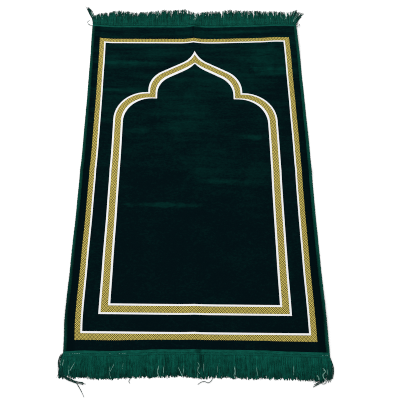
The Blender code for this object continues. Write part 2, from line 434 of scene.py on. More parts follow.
def draw_arch(side, base, middle_u, middle_v, notch, lobe_v, lobe_radius, ogee, tip):
    """The right half of an arch's line: side, round shoulder, notch, lobe and ogee tip."""
    line = start_line("arch", at(0, base))
    run_to(at(side, base))
    run_to(at(side, middle_v))
    arc_about(at(middle_u, middle_v), 90, 12)
    run_to(at(notch, pencil().y / MM))
    run_to(at(notch, lobe_v))
    arc_about(at(notch - lobe_radius, lobe_v), LOBE_DEGREES, 10)
    here, steepness = pencil() / MM, math.radians(90 - LOBE_DEGREES)
    run_to(at(ogee, here.y + (here.x - ogee) * math.tan(steepness)))
    to_tip = at(0, tip) - pencil()
    outwards = Vector((math.sin(steepness), math.cos(steepness), 0))
    radius = to_tip.length_squared / (2 * outwards.dot(to_tip))
    bend = -2 * math.degrees(math.asin(to_tip.length / 2 / radius))
    arc_about(pencil() + outwards * radius, bend, 8)
    print("an arch's tip is drawn at", [round(value / MM, 1) for value in pencil()[:2]], "mm")
    close_mesh()
    return line


lines = [(draw_border(*row), BORDER_AXIS) for row in BORDER_LINES]
lines += [(draw_arch(*row), ARCH_AXIS) for row in ARCH_LINES]

# %% Mirror the lines and pull them up into walls
for line, axis in lines:
    apply(line, "MIRROR", use_axis=(True, False, False), merge_threshold=0.01 * MM)
    open_mesh(line, "VERT")
    bpy.ops.mesh.select_all(action="SELECT")
    bpy.ops.transform.translate(value=(axis * MM, 0, 0))
    bpy.ops.mesh.extrude_region_move(TRANSFORM_OT_translate={"value": (0, 0, 2 * WALL)})
    close_mesh()
cloth = join([cloth] + [line for line, axis in lines], "cloth")
print(len(lines), "lines stand as walls in the sheet")

# %% Cut the sheet with the walls
open_mesh(cloth)
wall_count = pick(cloth, lambda face: abs(face.normal.z) < 0.5)
bpy.ops.mesh.intersect(mode="SELECT_UNSELECT", separate_mode="NONE", solver="EXACT")
bpy.ops.mesh.select_all(action="DESELECT")
bpy.ops.mesh.select_mode(type="EDGE")


def crossing(edge):
    """True where a wall's faces and the sheet's meet."""
    upright = [abs(face.normal.z) < 0.5 for face in edge.link_faces]
    return any(upright) and not all(upright)


seam_count = pick(cloth, crossing, "edges")
bpy.ops.mesh.mark_seam()
bpy.ops.mesh.select_mode(type="FACE")
bpy.ops.mesh.select_all(action="DESELECT")
pick(cloth, lambda face: abs(face.normal.z) < 0.5)
bpy.ops.mesh.delete(type="FACE")
close_mesh()
print(wall_count, "wall faces left", seam_count, "seam edges in the sheet")

# %% Fill each band from one click in its left side
CLICK_V = -100  # where every band runs straight along the left side
BANDS = (  # slot, axis, then the sides of the two lines that the band runs between
    (GOLD_SLOT, BORDER_AXIS, BORDER_LINES[0][0], BORDER_LINES[1][0]),
    (WHITE_SLOT, BORDER_AXIS, BORDER_LINES[1][0], BORDER_LINES[2][0]),
    (WHITE_SLOT, ARCH_AXIS, ARCH_LINES[0][0], ARCH_LINES[1][0]),
    (GOLD_SLOT, ARCH_AXIS, ARCH_LINES[1][0], ARCH_LINES[2][0]),
    (WHITE_SLOT, ARCH_AXIS, ARCH_LINES[2][0], ARCH_LINES[3][0]),
)
for slot, axis, outer_side, inner_side in BANDS:
    click_at = Vector((axis - (outer_side + inner_side) / 2, CLICK_V, 0)) * MM
    clicked = cloth.closest_point_on_mesh(click_at)[-1]
    open_mesh(cloth)
    mesh = bmesh.from_edit_mesh(cloth.data)
    mesh.faces.ensure_lookup_table()
    mesh.faces[clicked].select_set(True)
    bmesh.update_edit_mesh(cloth.data)
    bpy.ops.mesh.select_linked(delimit={"SEAM"})
    cloth.active_material_index = slot
    bpy.ops.object.material_slot_assign()
    area = sum(face.calc_area() for face in mesh.faces if face.select)
    close_mesh()
    print("a band of", cloth.material_slots[slot].name, "fills", round(area * 1e4), "cm2")

# %% [markdown]
# ## From a flat surface to pile cloth
#
# The pattern is now in the surface, so the cloth gets its thickness below it, with the
# woven back as its own finish. The gold weave is pushed down by the height of the pile
# round it, and the hem, under the edging and the headings, is pressed thin. Every point
# then keeps its sheet place as an attribute, which the finishes read, and is laid down.

# %% Give the cloth its thickness
GOLD_SINK = 0.6 * MM

below = {"offset": -1, "material_offset": BACK_SLOT, "material_offset_rim": BACK_SLOT}
apply(cloth, "SOLIDIFY", thickness=PILE_CLOTH, **below)
open_mesh(cloth)
bpy.ops.mesh.select_all(action="SELECT")
bpy.ops.transform.translate(value=(0, 0, PILE_CLOTH))
bpy.ops.mesh.select_all(action="DESELECT")
pick(cloth, lambda face: face.material_index == GOLD_SLOT and face.normal.z > 0.5)
bpy.ops.mesh.extrude_region_move(TRANSFORM_OT_translate={"value": (0, 0, -GOLD_SINK)})
close_mesh()
print("the cloth is", round(cloth.dimensions.z / MM, 2), "mm thick")


# %% Keep a place, smooth a piece and lay it down
def keep(piece, name, values):
    """Stores three numbers for each point, which a finish can read."""
    attribute = piece.data.attributes.new(name, "FLOAT_VECTOR", "POINT")
    attribute.data.foreach_set("vector", np.ascontiguousarray(values, np.float32).ravel())


def finish_shape(piece, angle):
    """Rounds the shading, except over folds sharper than the angle."""
    click(piece)
    bpy.ops.object.shade_smooth_by_angle(angle=math.radians(angle))


def lay_down(piece, flat, angle):
    """Keeps the sheet places for the finishes, and moves the points to where they lie."""
    keep(piece, "sheet", flat)
    put_points(piece, laid(flat))
    finish_shape(piece, angle)


# %% Press the hem and lay the cloth down
UNEVEN = 0.35 * MM  # how far the pile's height strays
SWELLS = 22  # how many times the height rises and falls in a metre
flat = points_of(cloth)
keep(cloth, "sheet", flat)
top = flat[:, 2] > PILE_CLOTH / 2
in_hem = (np.abs(flat[:, 0]) > HEM_U - HEM_SLOPE / 2) | (np.abs(flat[:, 1]) > HEM_V - HEM_SLOPE / 2)
ripple = np.array([noise.noise(Vector((u * SWELLS, v * SWELLS, 0))) for u, v, h in flat])
flat[:, 2] += UNEVEN * ripple * top
flat[in_hem, 2] = TAPE + GAP + HEM * top[in_hem]
put_points(cloth, laid(flat))
finish_shape(cloth, 40)
print("the cloth stands up to", round(cloth.dimensions.z / MM, 1), "mm high at its corners")

# %% [markdown]
# ## The side edgings
#
# Each long side is bound by an overlock machine: thread is whipped over the edge in close
# turns, a little slanting. Under it goes a folded tape. The fold's section is drawn with
# the pencil and pulled along the edge, and one turn of thread is drawn, made round as a
# curve, and repeated down the side. The left edging is the right one turned about.


# %% A tube from a drawn line
def tube_from(line, radius, sides=4):
    """Makes a drawn line into a thread with closed ends."""
    click(line)
    bpy.ops.object.convert(target="CURVE")
    line.data.bevel_depth = radius
    line.data.bevel_resolution = sides // 2 - 2
    line.data.use_fill_caps = True
    bpy.ops.object.convert(target="MESH")
    return line


# %% Draw a fold's section and pull it out into a strip
def draw_fold(name, inner, outer, thickness, top, across):
    """Draws a fold's section in (place, height) and fills it; across turns it to its axis."""
    radius = top / 2
    line = start_line(name, across(inner, 0))
    run_to(across(outer - radius, 0))
    arc_about(across(outer - radius, radius), 180, 8, across(0, 0, -1))
    run_to(across(inner, top))
    run_to(across(inner, top - thickness))
    run_to(across(outer - radius, top - thickness))
    arc_about(across(outer - radius, radius), -180, 6, across(0, 0, -1))
    run_to(across(inner, thickness))
    bpy.ops.mesh.select_all(action="SELECT")
    bpy.ops.mesh.edge_face_add()
    return line


def pull_along(piece, start, end, cuts):
    """Pulls the open mesh's filled section from start to end and cuts it across evenly."""
    along = (end - start).normalized()
    bpy.ops.mesh.select_all(action="SELECT")
    bpy.ops.transform.translate(value=start)
    bpy.ops.mesh.extrude_region_move(TRANSFORM_OT_translate={"value": end - start})
    bpy.ops.mesh.select_mode(type="EDGE")
    bpy.ops.mesh.select_all(action="DESELECT")
    half = (end - start).length / 2
    pick(piece, lambda edge: abs((edge.verts[0].co - edge.verts[1].co).dot(along)) > half, "edges")
    bpy.ops.mesh.subdivide(number_cuts=cuts)
    bpy.ops.mesh.select_all(action="SELECT")
    bpy.ops.mesh.normals_make_consistent(inside=False)
    close_mesh()


# %% The tape in an edging
def across_side(place, height, along=0):
    """The section of a side tape lies across X, and the tape runs along Y."""
    return Vector((place, along, height))


SIDE_TAPE = 0.5 * MM
tape = draw_fold("edging_tape", HALF_WIDTH - EDGING_WIDTH, HALF_WIDTH, SIDE_TAPE, TRIM, across_side)
pull_along(tape, Vector((0, -SEAM, 0)), Vector((0, SEAM, 0)), 140)
print("the folded tape measures", [round(side / MM, 1) for side in tape.dimensions], "mm")

# %% One turn of thread
THREAD = 0.62 * MM  # the thread's radius
TURN_SLANT = 2 * MM
fold = HALF_WIDTH - TRIM / 2
turn_radius = TRIM / 2 + 0.25 * MM
thread = start_line("edging_turn", (HALF_WIDTH - EDGING_WIDTH - 0.9 * MM, 0, TRIM - 0.9 * MM))
run_to((HALF_WIDTH - EDGING_WIDTH + 0.2 * MM, TURN_SLANT / 8, TRIM + 0.3 * MM))
run_to((fold - 2 * MM, TURN_SLANT * 5 / 8, TRIM + 0.4 * MM))
run_to((fold, TURN_SLANT, TRIM / 2 + turn_radius))
arc_about((fold, TURN_SLANT, TRIM / 2), -135, 5, (0, -1, 0))
close_mesh()
thread = tube_from(thread, THREAD)
turn_points = len(thread.data.vertices)
print("a turn has", turn_points, "points")

# %% All the turns down a side
TURN_PITCH = 1.5 * MM
TURNS_STRAY = (0.25 * MM, 0.12 * MM, 0.06 * MM)  # no turn lies quite like the next
turns = int(2 * SEAM / TURN_PITCH)
first_turn = (0, -SEAM + TURN_PITCH / 2, 0)
open_mesh(thread)
bpy.ops.mesh.select_all(action="SELECT")
bpy.ops.transform.translate(value=first_turn)
close_mesh()
apply(
    thread,
    "ARRAY",
    count=turns,
    use_relative_offset=False,
    use_constant_offset=True,
    constant_offset_displace=(0, TURN_PITCH, 0),
)
chance = np.random.default_rng(3)
wander = np.repeat(chance.normal(0, 1, (turns, 3)), turn_points, axis=0)
put_points(thread, points_of(thread) + wander * TURNS_STRAY)
edging_right = join([tape, thread], "edging_right")
edging_right.data.materials.clear()
edging_right.data.materials.append(edging_thread)
print(turns, "turns of thread bind a side")


# %% Turn a copy about for the left side, and lay both down
def turned_copy(piece, name):
    """A copy with its own mesh, turned half round the sheet's middle."""
    click(piece)
    bpy.ops.object.duplicate()
    other = bpy.context.object
    other.name = other.data.name = name
    open_mesh(other)
    bpy.ops.mesh.select_all(action="SELECT")
    bpy.ops.transform.rotate(value=math.pi, orient_axis="Z", center_override=(0, 0, 0))
    close_mesh()
    return other


edging_left = turned_copy(edging_right, "edging_left")
for edging in (edging_left, edging_right):
    lay_down(edging, points_of(edging), 80)
    print(edging.name, "lies at x", round(edging.bound_box[0][0], 3), "to", round(edging.bound_box[6][0], 3))

# %% [markdown]
# ## The headings
#
# A heading is the band that holds the fringe: a ribbed strip folded round the end of the
# cloth. The fringe's yarn starts on top of its outer part. Two rows of stitches run along
# it, the inner one on the strip and the outer one over the yarn. The strip's section is
# drawn like the side tape's. A stitch could be drawn too, but it has to stay light, because
# there are hundreds: so one is rolled up from a small grid and repeated. One strand of yarn
# is made the same way for the fringe.


# %% A thread rolled from a grid
def rolled_thread(name, radius, rings):
    """A thread of length 1 along Y with pointed ends; its UV map runs round and along it."""
    bpy.ops.object.select_all(action="DESELECT")
    bpy.ops.mesh.primitive_grid_add(x_subdivisions=4, y_subdivisions=rings - 1, size=1)
    piece = bpy.context.object
    piece.name = piece.data.name = name
    across, along, up = points_of(piece).T
    angle, along = 2 * math.pi * across, along + 0.5
    swell = radius * np.where((along < 0.01) | (along > 0.99), 0, 1)
    put_points(piece, np.stack([-swell * np.cos(angle), along, swell * np.sin(angle)], 1))
    open_mesh(piece, "VERT")
    bpy.ops.mesh.select_all(action="SELECT")
    bpy.ops.mesh.remove_doubles(threshold=0.01 * radius)
    close_mesh()
    return piece


def repeat(piece, count, u_step=0, v_step=0):
    """Repeats a piece in place; each copy's UV map is moved on by a step."""
    apply(piece, "ARRAY", count=count, use_relative_offset=False, offset_u=u_step, offset_v=v_step)


# %% The folded strip of a heading
def across_end(place, height, along=0):
    """The section of a heading lies across Y, and the heading runs along X."""
    return Vector((-along, place, height))


HEADING_TAPE = 0.5 * MM
strip = draw_fold("heading_far", SEAM, HEADING_END, HEADING_TAPE, TRIM - 0.3 * MM, across_end)
pull_along(strip, Vector((-HALF_WIDTH, 0, 0)), Vector((HALF_WIDTH, 0, 0)), 100)
print("the folded strip measures", [round(side / MM, 1) for side in strip.dimensions], "mm")

# %% One stitch, repeated for two rows
STITCH, STITCH_PITCH = 3.4 * MM, 4.2 * MM
STITCH_THREAD = 0.38 * MM  # its radius
per_row = int(WIDTH / STITCH_PITCH)
stitches = rolled_thread("stitches", STITCH_THREAD, 5)
stitch = points_of(stitches)
repeat(stitches, 2 * per_row)
print(2 * per_row, "stitches hold a heading")

# %% Sew the rows
ROWS = (SEAM + 7.5 * MM, HEADING_END - 1.8 * MM)
OUTER_ROW_UP = 1.1 * MM  # the outer row is sewn over the fringe's yarn
STITCH_RISE = 0.75 * MM  # from its ends to its middle
copy = np.arange(2 * per_row)
chance = np.random.default_rng(5)
middle = -HALF_WIDTH + (copy // 2 + 0.5) * STITCH_PITCH + chance.normal(0, 0.2 * MM, len(copy))
row = np.array(ROWS)[copy % 2] + chance.normal(0, 0.25 * MM, len(copy))
arched = 4 * stitch[:, 1] * (1 - stitch[:, 1])
u = middle[:, None] + (stitch[:, 1] - 0.5) * STITCH
v = row[:, None] - stitch[:, 0]
h = OUTER_ROW_UP * (copy % 2)[:, None] + TRIM + STITCH_RISE * arched + stitch[:, 2]
put_points(stitches, np.stack([u.ravel(), v.ravel(), h.ravel()], 1))
print("the rows run", [round((place - SEAM) / MM, 1) for place in ROWS], "mm past the seam")

# %% Tell the finish which points are sewn: the row, 0 for the strip, and a chance shade
facts = np.stack([copy % 2 + 1, chance.random(len(copy)), np.zeros(len(copy))], 1)
keep(strip, "part", np.zeros((len(strip.data.vertices), 3)))
keep(stitches, "part", np.repeat(facts, len(stitch), axis=0))
print("the shades run from", facts[:, 1].min().round(2), "to", facts[:, 1].max().round(2))

# %% Join them, turn a copy about for the near end, and lay both down
heading_far = join([strip, stitches], "heading_far")
heading_far.data.materials.clear()
heading_far.data.materials.append(heading_yarn)
heading_near = turned_copy(heading_far, "heading_near")
for heading in (heading_far, heading_near):
    lay_down(heading, points_of(heading), 60)
    print(heading.name, "is", [round(side / MM) for side in heading.dimensions], "mm")

# %% [markdown]
# ## The fringe
#
# The fringe is cut yarn, about 55 mm long, that has drawn together into wisps. The solids
# have 140 locks at each end, and every lock is now 13 strands that follow its course: the
# same lean, the same clump and the same chance numbers. Particle hair would be quicker,
# but it wouldn't keep to these courses, so a strand is rolled once, repeated, and each copy
# is bent to its own. First come the courses of the locks, worked out as for the solids.

# %% The locks' sizes, as in the solids
LOCKS = 140
LOCK_PITCH = WIDTH / LOCKS
TIP_HEIGHT = 1.4 * MM
CLUMP_SIZES = (3, 4, 5, 6)
CORNER_CLUMP = 4
CLUMP_LEAN = 1.4
CLUMP_DRAW = 0.3
RAGGED = 2.5 * MM
print("a lock is", LOCK_PITCH / MM, "mm wide")

# %% How far the fringe reaches, and the locks that stray, in millimetres
FRINGE_REACH = (  # u, then how far the fringe reaches past the far and the near seam
    (-345, 56, 67),
    (-300, 63, 70),
    (-260, 72, 71),
    (-200, 63, 72),
    (-160, 67, 70),
    (-100, 74, 71),
    (-30, 81, 70),
    (0, 63, 75),
    (60, 71, 70),
    (140, 73, 73),
    (200, 71, 70),
    (260, 64, 70),
    (300, 66, 72),
    (345, 62, 74),
)
STRAY_LOCKS = (  # end, lock, lean at the root and the tip, length
    ("far", 0, -12, -31, 82),
    ("far", 1, -12, -29, 74),
    ("far", 2, -11, -27, 66),
    ("far", 3, -9, -20, 47),
    ("far", 4, -5, -9, 42),
    ("far", 134, 4, 7, 50),
    ("far", 135, 7, 11, 51),
    ("far", 136, 10, 17, 56),
    ("far", 137, 13, 22, 62),
    ("far", 138, 16, 31, 55),
    ("far", 139, 20, 47, 55),
    ("near", 0, -22, 90, 106),
    ("near", 1, -14, 18, 44),
    ("near", 2, -8, 11, 47),
    ("near", 3, -5, 8, 50),
    ("near", 136, 4, -8, 51),
    ("near", 137, 7, -14, 49),
    ("near", 138, 11, -22, 45),
    ("near", 139, 22, -82, 98),
)
print(len(STRAY_LOCKS), "locks stray at the corners")


# %% The locks' courses
def make_clumps(chance):
    """The clump that each lock of an end has drawn into."""
    clumps = []
    while len(clumps) < LOCKS:
        left_over = LOCKS - CORNER_CLUMP - len(clumps)
        size = min(chance.choice(CLUMP_SIZES), left_over)
        if not clumps or left_over <= 0:
            size = CORNER_CLUMP
        clump = {
            "middle": -HALF_WIDTH + (len(clumps) + size / 2) * LOCK_PITCH,
            "lean": chance.uniform(-CLUMP_LEAN, CLUMP_LEAN),
            "turn": chance.uniform(-2, 2),
            "longer": chance.uniform(-3, 3) * MM,
        }
        clumps += [clump] * size
    return clumps


def lock_facts(end):
    """For each lock of an end: u at its root, the leans at root and tip in degrees, its length."""
    chance = random.Random(7 if end == "far" else 11)
    clumps = make_clumps(chance)
    strays = {lock: facts for which, lock, *facts in STRAY_LOCKS if which == end}
    facts = []
    for lock, clump in enumerate(clumps):
        u = -HALF_WIDTH + (lock + 0.5) * LOCK_PITCH
        ragged = chance.uniform(-RAGGED, RAGGED)
        reach = eased(FRINGE_REACH, u / MM, 1 if end == "far" else 2) * MM
        length = reach - HEADING_WIDTH + clump["longer"] + ragged
        lean = clump["lean"] + math.degrees((clump["middle"] - u) * CLUMP_DRAW / length)
        tip_lean = lean + clump["turn"]
        if lock in strays:
            lean, tip_lean, length = strays[lock]
            length *= MM
        facts.append((u, lean, tip_lean, length))
    return np.array(facts)


for end in ("far", "near"):
    facts = lock_facts(end)
    print(end, "locks are", (facts[:, 3].min() / MM).round(), "to", (facts[:, 3].max() / MM).round(), "mm")

# %% One strand, repeated for both ends
STRANDS = 13
STRAND_RINGS = 12
STRAND = 0.5 * MM  # a strand's radius
TILES_ACROSS = 65  # each strand has its own tile of the UV map
TILE_FILLED = (0.9, 0.96)
tiles_along = LOCKS * STRANDS // TILES_ACROSS

fringe_far = rolled_thread("fringe_far", STRAND, STRAND_RINGS)
fringe_far.data.materials.append(yarn)
strand_map = fringe_far.data.uv_layers.active
for corner_uv in strand_map.data:
    across, along = corner_uv.uv
    corner_uv.uv = (across * TILE_FILLED[0] / TILES_ACROSS, along * TILE_FILLED[1] / tiles_along)
strand_map.name = "OFBake"
one_strand = points_of(fringe_far)
repeat(fringe_far, TILES_ACROSS, u_step=1 / TILES_ACROSS)
repeat(fringe_far, tiles_along, v_step=1 / tiles_along)
click(fringe_far)
bpy.ops.object.duplicate()
fringe_near = bpy.context.object
fringe_near.name = fringe_near.data.name = "fringe_near"
print(LOCKS * STRANDS, "strands at each end,", len(fringe_far.data.polygons), "faces")

# %% [markdown]
# A strand starts on the heading, goes over its edge and comes down to the floor. The
# strands of a lock lie side by side in layers, waver a little and end unevenly, and a few
# fly away. Three of each lock have matted into flat ribbons at the bottom, which close the
# gaps. Locks that stray in the solids stay with their neighbours here where loose threads
# are drawn for them later, and the rest come a little nearer to their neighbours' length.

# %% How the strands differ from the solid locks
STAY = {  # lock, lean at the root and the tip, length: loose threads stray in their place
    "far": ((0, -12, -14, 36), (1, -8, -6, 34), (2, -5, -3, 36), (3, -3, -1, 38)),
    "near": ((0, -14, -2, 52), (137, 9, -4, 52), (138, 11, -8, 52), (139, 13, -13, 51)),
}
FULL_ROOT, FULL_TIP = 6.0 * MM, 7.5 * MM  # strands lie wider than the solid locks
CLUMPED = {"far": 0.85, "near": 0.3}  # how much of a lock's pull to its clump the strands share
NEIGHBOURS = 7  # locks to each side that have a say in how long a lock's strands are
EVENED = {"far": 0.35, "near": 0.7}  # how far the strands come to their neighbours' length
LONGER = {"far": 1.08, "near": 1.05}  # than the solid locks


def strand_facts(end):
    """A lock's facts for each of its strands."""
    locks = lock_facts(end)
    for lock, lean, tip_lean, length in STAY[end]:
        locks[lock, 1:] = lean, tip_lean, length * MM
    own = ~np.isin(np.arange(LOCKS), [row[1] for row in STRAY_LOCKS if row[0] == end])
    locks[own, 1:3] *= CLUMPED[end]
    around = np.pad(locks[own, 3], NEIGHBOURS, "edge")
    average = np.convolve(around, np.ones(2 * NEIGHBOURS + 1) / (2 * NEIGHBOURS + 1), "valid")
    locks[own, 3] += (average - locks[own, 3]) * EVENED[end]
    return np.repeat(locks, STRANDS, axis=0)


for end in ("far", "near"):
    print(end, "strands average", (strand_facts(end)[:, 3].mean() / MM).round(1), "mm")


# %% Sort the strands: side by side, in layers, matted, pale or flying
FELTED = 3  # of a lock's strands, those that have matted into ribbons
FLY_AWAYS = 0.04
SPREAD = 0.382  # of a lock's width, from one strand to the next, so that none is in line
TOP_LAYER = 1.2  # above all others, whose layers end at 1
BURIED = 9 * MM  # a bottom strand counts as this much farther when a pale one is looked for
PALE_AT = {  # u of strands painted pale toward their ends, as glints, in millimetres
    "far": (-335, -318, -250, -130, -14, 2, 9, 95, 180, 262, 281, 296, 308, 318, 329, 338),
    "near": (-328, -225, -210, -190, -98, -82, -34, 8, 18, 57, 98, 153, 250, 338),
}


def sort_strands(root_u, end, chance):
    """Each strand's place across its lock, its layer, and which are matted, pale or flying."""
    turn = np.arange(len(root_u))[:, None] % STRANDS
    matted = turn >= STRANDS - FELTED
    scattered = turn * SPREAD % 1 + chance.uniform(-0.1, 0.1, turn.shape)
    side = np.where(matted, (turn - STRANDS + FELTED + 0.5) / FELTED, scattered) - 0.5
    layer = np.where(matted, 0, chance.uniform(0.1, 1, turn.shape))
    pale = [np.argmin(np.abs(root_u - place * MM) + (1 - layer) * BURIED) for place in PALE_AT[end]]
    layer[pale] = TOP_LAYER
    flies = (chance.random(turn.shape) < FLY_AWAYS) & ~matted
    return side, layer, matted, pale, flies


print(FELTED, "of a lock's", STRANDS, "strands are matted, and", FLY_AWAYS, "of the rest fly away")


# %% How long each strand is, and which way it heads at each ring
OVER_HEADING = 3  # of a strand's rings, those that lie over the heading
MATTED_TO = {"far": (0.60, 0.92), "near": (0.90, 1.04)}  # the ribbons' share of a lock's length
ENDS_EARLY = 0.35  # of the strands
EARLY_AT = (0.6, 0.95)  # of their length
OUTER_SHORTER = 0.08  # of its length, for a strand at a lock's side
UNEVEN_ENDS = 1.4 * MM
TANGLED = {"far": 0.7, "near": 1.5}  # how far the strands waver, in millimetres
FLIES_DEGREES = 18

free_rings = STRAND_RINGS - OVER_HEADING - 1
ring_share = np.clip(np.arange(-OVER_HEADING, free_rings) + 1, 0, None) / free_rings
ring_share = np.append(ring_share * 0.98, 1)  # the cut end is blunt


def strand_lengths(length, side, matted, end, chance):
    """How far each strand reaches past the heading; a lock's outer strands are shorter."""
    shorter = np.where(chance.random(side.shape) < ENDS_EARLY, chance.uniform(*EARLY_AT, side.shape), 1)
    shorter = np.where(matted, chance.uniform(*MATTED_TO[end], side.shape), shorter)
    own_length = length * shorter * (LONGER[end] - OUTER_SHORTER * np.abs(2 * side) ** 1.5)
    return own_length + chance.normal(0, UNEVEN_ENDS, side.shape) * ~matted


def strand_angles(lean, tip_lean, matted, flies, end, chance):
    """How far each ring heads to the side of straight out, in radians."""
    strewn = chance.normal(0, 1, matted.shape) * np.where(matted, 0.4, 2.0 + 2 * TANGLED[end])
    angle = lean + (tip_lean - lean) * ring_share + strewn * ring_share
    return np.radians(angle + flies * chance.normal(0, FLIES_DEGREES, matted.shape) * ring_share)


print("past the heading the rings lie at", ring_share[OVER_HEADING:].round(2), "of a strand")


# %% Where each ring lies in plan
STARTS = {"far": 9 * MM, "near": 3 * MM}  # how far over the heading the strands start
UNEVEN_STARTS = 0.4 * MM
ANY_TURN = (0, 6.3)  # where in its wave a strand may start, about a full turn
WAVERS = (4, 13)  # how far its wave has turned by its tip


def strand_paths(root_u, own_length, angle, side, matted, end, chance):
    """u and v of every ring's middle, with v measured outwards."""
    step = own_length * np.diff(ring_share, prepend=0)
    u = root_u + np.cumsum(np.sin(angle) * step, axis=1)
    v = HEADING_END + np.cumsum(np.cos(angle) * step, axis=1)
    over = np.arange(STRAND_RINGS) < OVER_HEADING
    starts = np.linspace(HEADING_END - STARTS[end], HEADING_END, OVER_HEADING)
    v[:, over] = starts + chance.normal(0, UNEVEN_STARTS, side.shape) * (starts < HEADING_END)
    width = FULL_ROOT + (FULL_TIP - FULL_ROOT) * ring_share
    waver = chance.uniform(*ANY_TURN, side.shape) + ring_share * chance.uniform(*WAVERS, side.shape)
    reach = chance.uniform(0.2, 1, side.shape) * np.where(matted, 0.4, TANGLED[end]) * MM
    sideways = side * width + np.sin(waver) * reach * ring_share**0.5
    return u + sideways * np.cos(angle), v - sideways * np.sin(angle) * ring_share


print("strands start", [start / MM for start in STARTS.values()], "mm in from the headings' edges")


# %% How high each ring lies
ARCHES_UP = (1, 4)  # how high fly-aways may rise, in millimetres


def strand_heights(layer, matted, flies, end, chance):
    """From the heading's top down into the lock's own height; fly-aways arch up."""
    lock_top = TRIM + (TIP_HEIGHT - TRIM) * ring_share
    on_heading = TRIM + 0.25 * MM + 0.8 * MM * layer
    in_lock = STRAND + layer * (lock_top - 1.1 * STRAND)
    blend = np.clip(ring_share * 3, 0, 1)
    h = on_heading + (in_lock - on_heading) * blend
    h += flies * np.sin(math.pi * ring_share) * chance.uniform(*ARCHES_UP, layer.shape) * MM
    tumble = np.where(matted, 0.1, 0.2 + 0.5 * TANGLED[end]) * MM
    h += tumble * np.sin(chance.uniform(*ANY_TURN, layer.shape) + ring_share * 9) * blend
    return np.maximum(h, STRAND)


# %% Bend the strands to their courses
RIBBON = 3.4  # how many times a strand's width a ribbon is
TIP_THINNER = 0.3


def bend_strands(piece, end, seed):
    """Moves every copy of the straight strand onto a course of its own."""
    chance = np.random.default_rng(seed)
    root_u, lean, tip_lean, length = strand_facts(end).T[:, :, None]
    side, layer, matted, pale, flies = sort_strands(root_u, end, chance)
    own_length = strand_lengths(length, side, matted, end, chance)
    angle = strand_angles(lean, tip_lean, matted, flies, end, chance)
    u, v = strand_paths(root_u, own_length, angle, side, matted, end, chance)
    h = strand_heights(layer, matted, flies, end, chance)
    away = 1 if end == "far" else -1
    across, along, up = one_strand.T
    ring = np.round(along * (STRAND_RINGS - 1)).astype(int)
    taper = 1 - TIP_THINNER * along**4
    ahead_u, ahead_v = np.sin(angle)[:, ring], away * np.cos(angle)[:, ring]
    out = across * taper * np.where(matted, RIBBON, 1)
    places = (u[:, ring] + ahead_v * out, away * v[:, ring] - ahead_u * out, h[:, ring] + up * taper)
    tone = chance.random(len(u)) * 0.99
    tone[pale] = 1
    tone, layer = (np.repeat(values, len(one_strand)) for values in (tone, layer[:, 0]))
    keep(piece, "yarn", np.stack([tone, np.tile(along, len(u)), layer], 1))
    lay_down(piece, np.stack(places, -1).reshape(-1, 3), 80)


bend_strands(fringe_far, "far", 21)
bend_strands(fringe_near, "near", 22)
for fringe in (fringe_far, fringe_near):
    print(fringe.name, "is", [round(side / MM) for side in fringe.dimensions], "mm")
